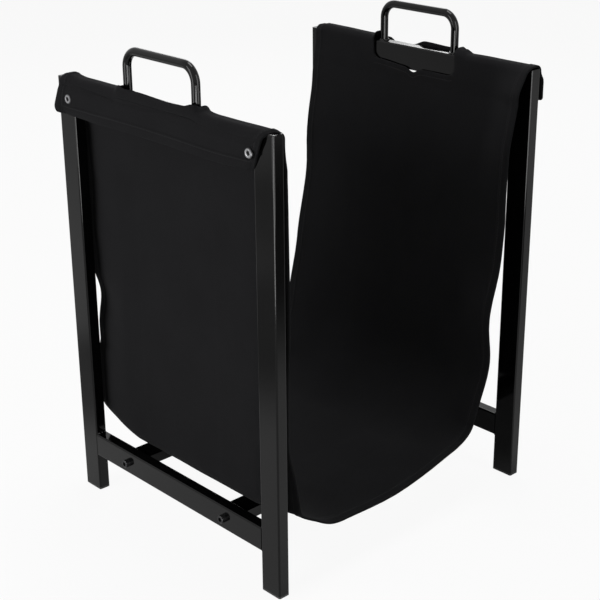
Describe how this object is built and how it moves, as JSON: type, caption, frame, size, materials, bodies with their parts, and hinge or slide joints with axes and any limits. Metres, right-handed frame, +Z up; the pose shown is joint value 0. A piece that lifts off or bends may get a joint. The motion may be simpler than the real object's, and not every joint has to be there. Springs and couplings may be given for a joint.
{
  "type": "log carrier with stand",
  "caption": "Canvas log sling hung over two welded black steel end frames with bent rod handles, joined by bolted stretchers.",
  "frame": {"origin": "on the floor under the middle of the stand", "axes": "+X from the left frame to the right one, +Y from the near legs to the far ones, +Z up"},
  "size_m": [0.4402, 0.374, 0.591],
  "materials": {
    "black_paint": "gloss black powder coat",
    "canvas": "matte black heavy canvas",
    "bolt_steel": "black oxide",
    "plug_steel": "plain steel",
    "stud_metal": "gunmetal plating",
    "foot_plastic": "black moulded plastic"
  },
  "bodies": {
    "stand": {"left_near_leg": "black_paint", "left_far_leg": "black_paint", "right_near_leg": "black_paint", "right_far_leg": "black_paint", "left_near_foot": "foot_plastic", "left_far_foot": "foot_plastic", "right_near_foot": "foot_plastic", "right_far_foot": "foot_plastic", "left_top_rail": "black_paint", "left_lower_rail": "black_paint", "left_handle": "black_paint", "right_top_rail": "black_paint", "right_lower_rail": "black_paint", "right_handle": "black_paint", "near_stretcher": "black_paint", "far_stretcher": "black_paint", "left_near_thread_plug": "plug_steel", "left_far_thread_plug": "plug_steel", "right_near_thread_plug": "plug_steel", "right_far_thread_plug": "plug_steel", "left_near_bolt": "bolt_steel", "left_far_bolt": "bolt_steel", "right_near_bolt": "bolt_steel", "right_far_bolt": "bolt_steel", "left_near_stud_post": "stud_metal", "left_far_stud_post": "stud_metal", "right_near_stud_post": "stud_metal", "right_far_stud_post": "stud_metal"},
    "sling": {"sling": "canvas", "left_fold": "canvas", "right_fold": "canvas"},
    "left_flap": {"left_flap": "canvas", "left_near_stud_cap": "stud_metal", "left_far_stud_cap": "stud_metal", "left_near_stud_socket": "stud_metal", "left_far_stud_socket": "stud_metal"},
    "right_flap": {"right_flap": "canvas", "right_near_stud_cap": "stud_metal", "right_far_stud_cap": "stud_metal", "right_near_stud_socket": "stud_metal", "right_far_stud_socket": "stud_metal"}
  },
  "joints": [
    {"name": "sling_lift", "type": "slide", "parent": "stand", "child": "sling", "axis": [0, 0, 1], "range_m": [0, 0.56]},
    {"name": "left_flap_fold", "type": "hinge", "parent": "sling", "child": "left_flap", "pos_m": [-0.2141, 0, 0.532], "axis": [0, 1, 0], "range_deg": [0, 75]},
    {"name": "right_flap_fold", "type": "hinge", "parent": "sling", "child": "right_flap", "pos_m": [0.2141, 0, 0.532], "axis": [0, -1, 0], "range_deg": [0, 75]}
  ]
}
